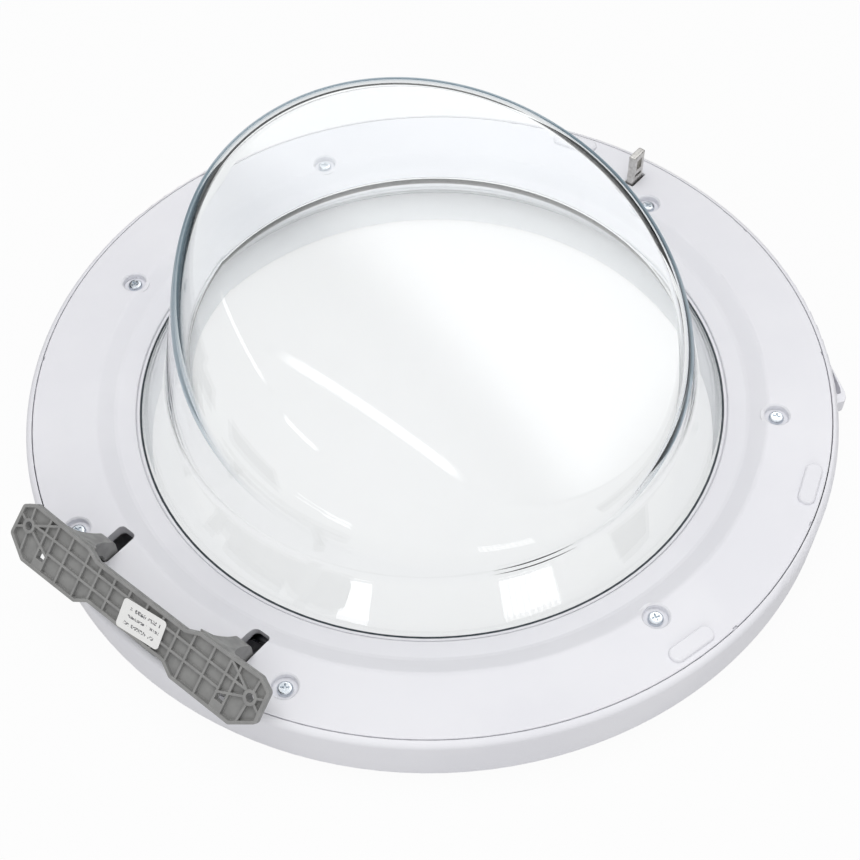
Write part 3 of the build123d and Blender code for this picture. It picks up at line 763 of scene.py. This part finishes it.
    def build(self) -> bpy.types.Object:
        """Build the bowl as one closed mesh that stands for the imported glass.

        Returns:
            The bowl.
        """
        rings, facings = self.outer_skin()
        inner = rings - facings * self.thickness
        bend = self.edge_rings
        inner[:bend] = rings[:bend] * [1, 1, -1] + [0, 0, 2 * self.flange_z + self.thickness]
        facings_in = -facings
        facings_in[:bend] = facings[:bend] * [1, 1, -1]
        skin = np.concatenate([rings[::-1][1:], inner[:-1]])
        normal = np.concatenate([facings[::-1][1:], facings_in[:-1]])
        poles = np.array([rings[-1, 0], inner[-1, 0]])
        pole_normals = np.array([facings[-1, 0], facings_in[-1, 0]])
        count, turns = len(skin), self.turns
        faces: List[Sequence[int]] = []
        for i in range(count - 1):
            for j in range(turns):
                k = (j + 1) % turns
                faces.append((i * turns + j, (i + 1) * turns + j, (i + 1) * turns + k, i * turns + k))
        last, first_pole, last_pole = (count - 1) * turns, count * turns, count * turns + 1
        for j in range(turns):
            k = (j + 1) % turns
            faces.append((first_pole, j, k))
            faces.append((last_pole, last + k, last + j))
        points = np.concatenate([skin.reshape(-1, 3), poles])
        piece = add_mesh("glass_bowl", points, faces, CLEAR_GLASS.material())
        directions = np.concatenate([normal.reshape(-1, 3), pole_normals])
        piece.data.normals_split_custom_set_from_vertices([tuple(d) for d in directions])
        mask = piece.data.attributes.new(RIM_MASK, "FLOAT", "POINT")
        mask.data.foreach_set("value", self.rim_mask(len(rings)))
        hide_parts("door_glass")
        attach(piece, Body.DOOR.value)
        LOG.info("%s: %d faces", piece.name, len(faces))
        return piece


@dataclass
class Rim:
    """White rim: front cover, inner ring, handle grip and the screws that hold them."""

    cover: str = "front_cover"
    plastic: Tuple[str, ...] = ("inner_ring", "handle_grip")
    screws: Tuple[str, ...] = ("ring_screws", "handle_screws", "hinge_screws", "latch_screws")
    seal: str = "glass_seal"

    def dress(self) -> None:
        """Give the rim its plastic, its screws their zinc and the glass its dark seal."""
        dress((self.cover,), COVER_PLASTIC)
        dress(self.plastic, WHITE_PLASTIC)
        dress(self.screws, ZINC)
        dress((self.seal,), SEAL_RUBBER)


@dataclass
class Hinge:
    """Grey hinge bracket with its label, pins, bushes, clips and steel carrier."""

    tilt: float = 44.0
    middle: Point = (-217.1 * MM, 9.3 * MM, 56.35 * MM)
    label_size: Tuple[float, float] = (28.0 * MM, 15.2 * MM)
    label_corner: float = 2.0 * MM
    label_at: Tuple[float, float] = (7.2 * MM, -4.3 * MM)
    label_turn: float = 5.7
    label_low: float = 0.02 * MM
    label_thick: float = 0.2 * MM
    label_inset: float = 0.1 * MM
    label_soft: float = 0.05 * MM
    label_steps: int = 9
    steel: Tuple[str, ...] = (
        "hinge_carrier", "latch_holder", "upper_pin_clip", "lower_pin_clip", "latch_pin_clip",
    )

    def plane(self) -> Matrix:
        """Place of the bracket's ribbed side: X along the hinge, Y towards the arms, Z off the ribs."""
        lean = math.radians(self.tilt)
        x = Vector((0, -1, 0))
        z = Vector((-math.sin(lean), 0, math.cos(lean)))
        y = z.cross(x)
        return Matrix.Translation(self.middle) @ Matrix((x, y, z)).transposed().to_4x4()

    def build_label(self) -> bpy.types.Object:
        """Build the paper label with rounded corners and a soft edge.

        Returns:
            The label.
        """
        half_x, half_y = self.label_size[0] / 2, self.label_size[1] / 2
        outline = []
        for corner_x, corner_y, start in ((1, 1, 0), (-1, 1, 90), (-1, -1, 180), (1, -1, 270)):
            for angle in np.radians(np.linspace(start, start + 90, self.label_steps)):
                x = corner_x * (half_x - self.label_corner) + self.label_corner * math.cos(angle)
                y = corner_y * (half_y - self.label_corner) + self.label_corner * math.sin(angle)
                outline.append((x, y))
        edge = np.array(outline)
        count = len(edge)
        inset = edge * [1 - self.label_inset / half_x, 1 - self.label_inset / half_y]
        low, high = self.label_low, self.label_low + self.label_thick
        levels = ((edge, low), (edge, high - self.label_soft), (inset, high))
        points = np.concatenate([np.c_[ring, np.full(count, z)] for ring, z in levels])
        faces: List[Sequence[int]] = [tuple(reversed(range(count))), tuple(range(2 * count, 3 * count))]
        for level in range(len(levels) - 1):
            for j in range(count):
                k = (j + 1) % count
                base = level * count
                faces.append((base + j, base + k, base + count + k, base + count + j))
        label = add_mesh("label_sheet", points, faces, LABEL_PAPER.material())
        label.data.polygons.foreach_set("use_smooth", [False] * len(faces))
        turn = Matrix.Rotation(math.radians(self.label_turn), 4, "Z")
        label.matrix_world = self.plane() @ (Matrix.Translation((*self.label_at, 0)) @ turn)
        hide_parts("hinge_label")
        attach(label, Body.HINGE.value)
        LOG.info("%s: %d faces", label.name, len(faces))
        return label

    def dress(self) -> None:
        """Give every piece of the hinge its finish."""
        dress(("hinge_bracket",), GREY_MOULDING)
        dress(("upper_hinge_bush", "lower_hinge_bush"), BUSH_PLASTIC)
        dress(("upper_hinge_pin", "lower_hinge_pin", "latch_pin", "latch_spring"), PIN_STEEL)
        dress(self.steel, SHEET_STEEL)


@dataclass
class Latch:
    """Plated latch hook."""

    hook: str = "latch_hook"

    def dress(self) -> None:
        """Give the hook its nickel plating."""
        dress((self.hook,), NICKEL)


@dataclass(frozen=True)
class SoftBox:
    """One rectangular studio lamp that faces a point."""

    name: str
    place: Point
    target: Point
    size: Tuple[float, float]
    power: float
    colour: Tuple[float, float, float] = (1.0, 1.0, 1.0)

    def build(self) -> bpy.types.Object:
        """Hang the lamp.

        Returns:
            The lamp.
        """
        data = bpy.data.lights.new(self.name, "AREA")
        data.shape = "RECTANGLE"
        data.size, data.size_y = self.size
        data.energy = self.power
        data.color = self.colour
        lamp = bpy.data.objects.new(self.name, data)
        lamp.location = self.place
        lamp.rotation_euler = (Vector(self.target) - Vector(self.place)).to_track_quat("-Z", "Y").to_euler()
        lamp.visible_camera = lamp.visible_glossy = lamp.visible_transmission = False
        bpy.context.scene.collection.objects.link(lamp)
        return lamp


@dataclass(frozen=True)
class GlowCard:
    """Bright card beside the stage, which only mirrors and glass see."""

    name: str
    place: Point
    target: Point
    size: Tuple[float, float]
    strength: float
    pattern: Glow
    turn: float = 0.0
    colour: Colour = (1.0, 1.0, 1.0, 1)
    soft_edge: float = 0.4
    pane_bar: float = 0.15
    slat_count: float = 60.0
    slat_dim: float = 0.55

    def build(self) -> bpy.types.Object:
        """Hang the card.

        Returns:
            The card.
        """
        material, tree = new_material(self.name)
        place = tree.place()
        across, along = tree.axis(place, 0) / self.size[0], tree.axis(place, 1) / self.size[1]
        if self.pattern is Glow.SOFT:
            sides = (1.0 - abs(across) * 2.0).ramp(0.0, self.soft_edge)
            share = sides * (1.0 - abs(along) * 2.0).ramp(0.0, self.soft_edge)
        elif self.pattern is Glow.PANES:
            share = ((across > 0.0) + (along > self.pane_bar)).ramp(0.0, 1.0)
        else:
            share = (across * self.slat_count).wave().ramp(-1.0, 1.0, self.slat_dim, 1.0)
        glow = tree.blend(share, (0.0, 0.0, 0.0, 1), self.colour)
        lit = tree.node("ShaderNodeEmission", {}, {"Color": glow, "Strength": self.strength})
        if self.pattern is Glow.SLATS:
            surface = lit
        else:
            surface = tree.mixed(share, tree.node("ShaderNodeBsdfTransparent"), lit)
        tree.show(surface)
        material.cycles.emission_sampling = "NONE"
        half_x, half_y = self.size[0] / 2, self.size[1] / 2
        card = add_mesh(self.name, rectangle(half_x, half_y, 0.0), [(0, 1, 2, 3)], material)
        facing = (Vector(self.target) - Vector(self.place)).to_track_quat("-Z", "Y").to_matrix().to_4x4()
        turn = Matrix.Rotation(math.radians(self.turn), 4, "Z")
        card.matrix_world = Matrix.Translation(self.place) @ facing @ turn
        card.visible_camera = card.visible_diffuse = card.visible_shadow = False
        return card


@dataclass(frozen=True)
class DarkFlag:
    """Dark curved card beside the stage, which only mirrors and glass see."""

    name: str
    radius: float
    start: float
    end: float
    low: float
    high: float
    colour: Colour = (0.012, 0.013, 0.014, 1)
    steps: int = 24

    def build(self) -> bpy.types.Object:
        """Stand the card up.

        Returns:
            The card.
        """
        material, tree = new_material(self.name)
        tree.show(tree.principled({"Base Color": self.colour, "Roughness": 1.0, "Specular IOR Level": 0.0}))
        turn = np.radians(np.linspace(self.start, self.end, self.steps + 1))
        foot = np.stack([np.cos(turn), np.sin(turn), np.zeros_like(turn)], axis=1) * self.radius
        points = np.concatenate([foot + [0, 0, self.low], foot + [0, 0, self.high]])
        count = len(turn)
        faces = [(i, i + 1, count + i + 1, count + i) for i in range(self.steps)]
        card = add_mesh(self.name, points, faces, material)
        card.visible_camera = card.visible_diffuse = card.visible_shadow = False
        return card


@dataclass
class Studio:
    """Pale floor, white surroundings, soft lamps and the camera."""

    floor_half: float = 4.0
    floor_drop: float = 0.2 * MM
    floor_colour: Colour = (0.64, 0.64, 0.65, 1)
    floor_shade: Colour = (0.62, 0.62, 0.63, 1)
    floor_white: Tuple[Tuple[str, float], ...] = (
        ("Is Transmission Ray", 0.2), ("Is Glossy Ray", 0.7), ("Is Camera Ray", 0.95),
    )
    sky_fill: float = 0.57
    camera_place: Point = (-0.41206, -0.35193, 0.68651)
    camera_heading: float = -49.354
    camera_pitch: float = 52.234
    camera_roll: float = -1.645
    lens: float = 62.70
    sensor: float = 36.0
    clip: Tuple[float, float] = (0.01, 50.0)
    lamps: Tuple[SoftBox, ...] = (
        SoftBox("overhead", (0.05, 0.10, 2.20), (0, 0, 0.05), (1.5, 1.5), 20.5),
        SoftBox("front", (-1.40, -1.20, 0.80), (0, 0, 0.05), (1.0, 0.8), 6.5),
    )
    glows: Tuple[GlowCard, ...] = (
        GlowCard("ceiling_glow", (1.80, -0.10, 2.00), (1.80, -0.10, 0.0), (2.9, 3.6), 2.6, Glow.SOFT),
        GlowCard("strip_glow", (0.27, -0.45, 2.00), (0.27, -0.45, 0.0), (0.05, 1.10), 4.0, Glow.SOFT, 11.0),
        GlowCard("top_glow", (-0.28, 0.45, 2.00), (-0.28, 0.45, 0.0), (0.18, 0.90), 3.5, Glow.SOFT, -15.0),
        GlowCard("box_glow", (-0.66, -0.22, 2.00), (-0.66, -0.22, 0.0), (0.24, 0.42), 3.5, Glow.SOFT),
        GlowCard("left_window", (-2.08, -0.36, 0.36), (-0.14, -0.06, 0.04), (0.72, 0.12), 4.5, Glow.PANES),
        GlowCard("right_window", (-0.72, -1.97, 0.35), (-0.08, -0.13, 0.04), (0.66, 0.16), 4.5, Glow.SLATS),
    )
    flags: Tuple[DarkFlag, ...] = (
        DarkFlag("far_flag", 1.5, 20.0, 140.0, 0.02, 0.45),
        DarkFlag("right_flag", 1.5, -80.0, -20.0, 0.02, 0.45),
        DarkFlag("left_flag", 1.5, 150.0, 172.0, 0.02, 0.45),
        DarkFlag("near_left_flag", 0.32, 82.0, 140.0, 0.0, 0.20),
        DarkFlag("near_right_flag", 0.34, -20.0, 14.0, 0.0, 0.20),
    )

    def seen(self, tree: ShaderTree) -> Wire:
        """Share of plain white in what the camera sees, directly, mirrored or through glass."""
        seen: Value = 0.0
        for ray, share in self.floor_white:
            seen = (tree.node("ShaderNodeLightPath", output=ray) * share).higher(seen)
        return seen

    def build_floor(self) -> bpy.types.Object:
        """Lay the pale floor, which keeps part of the door's shadow.

        Returns:
            The floor.
        """
        material, tree = new_material("pale_floor")
        cloud = tree.noise(0.4, 2.0)
        colour = tree.blend(cloud, self.floor_colour, self.floor_shade)
        matt = tree.principled({"Base Color": colour, "Roughness": 0.9, "Specular IOR Level": 0.1})
        white = tree.node("ShaderNodeEmission", {}, {"Color": (1, 1, 1, 1), "Strength": 1.0})
        tree.show(tree.mixed(self.seen(tree), matt, white))
        corners = rectangle(self.floor_half, self.floor_half, -self.floor_drop)
        floor = add_mesh("floor", corners, [(0, 1, 2, 3)], material)
        return floor

    def build_sky(self) -> None:
        """Surround the door with white, dimmer as a light than as a sight."""
        world = bpy.data.worlds.new("surroundings")
        world.use_nodes = True
        tree = ShaderTree(world.node_tree)
        strength = (self.seen(tree) > 0.0).ramp(0.0, 1.0, self.sky_fill, 1.0)
        sky = tree.node("ShaderNodeBackground", {}, {"Color": (1, 1, 1, 1), "Strength": strength})
        tree.show(sky, "ShaderNodeOutputWorld")
        bpy.context.scene.world = world

    def build_camera(self) -> bpy.types.Object:
        """Set up the camera of the main view.

        Returns:
            The camera.
        """
        data = bpy.data.cameras.new("camera")
        data.lens, data.sensor_width = self.lens, self.sensor
        data.clip_start, data.clip_end = self.clip
        camera = bpy.data.objects.new("camera", data)
        turn = Matrix.Rotation(math.radians(self.camera_heading), 4, "Z")
        tip = Matrix.Rotation(math.radians(90.0 - self.camera_pitch), 4, "X")
        roll = Matrix.Rotation(math.radians(self.camera_roll), 4, "Z")
        camera.matrix_world = Matrix.Translation(self.camera_place) @ turn @ tip @ roll
        bpy.context.scene.collection.objects.link(camera)
        bpy.context.scene.camera = camera
        return camera

    def build(self) -> None:
        """Set up the whole studio."""
        self.build_floor()
        self.build_sky()
        for piece in (*self.lamps, *self.glows, *self.flags):
            piece.build()
        self.build_camera()
        bpy.context.scene.view_settings.view_transform = "Standard"


def main() -> None:
    """Build and dress the door, piece by piece, and set up the studio."""
    logging.basicConfig(level=logging.INFO, format="%(name)s %(message)s")
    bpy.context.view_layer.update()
    Studio().build()
    Rim().dress()
    GlassBowl().build()
    hinge = Hinge()
    hinge.build_label()
    hinge.dress()
    Latch().dress()


if __name__ == "__main__":
    main()
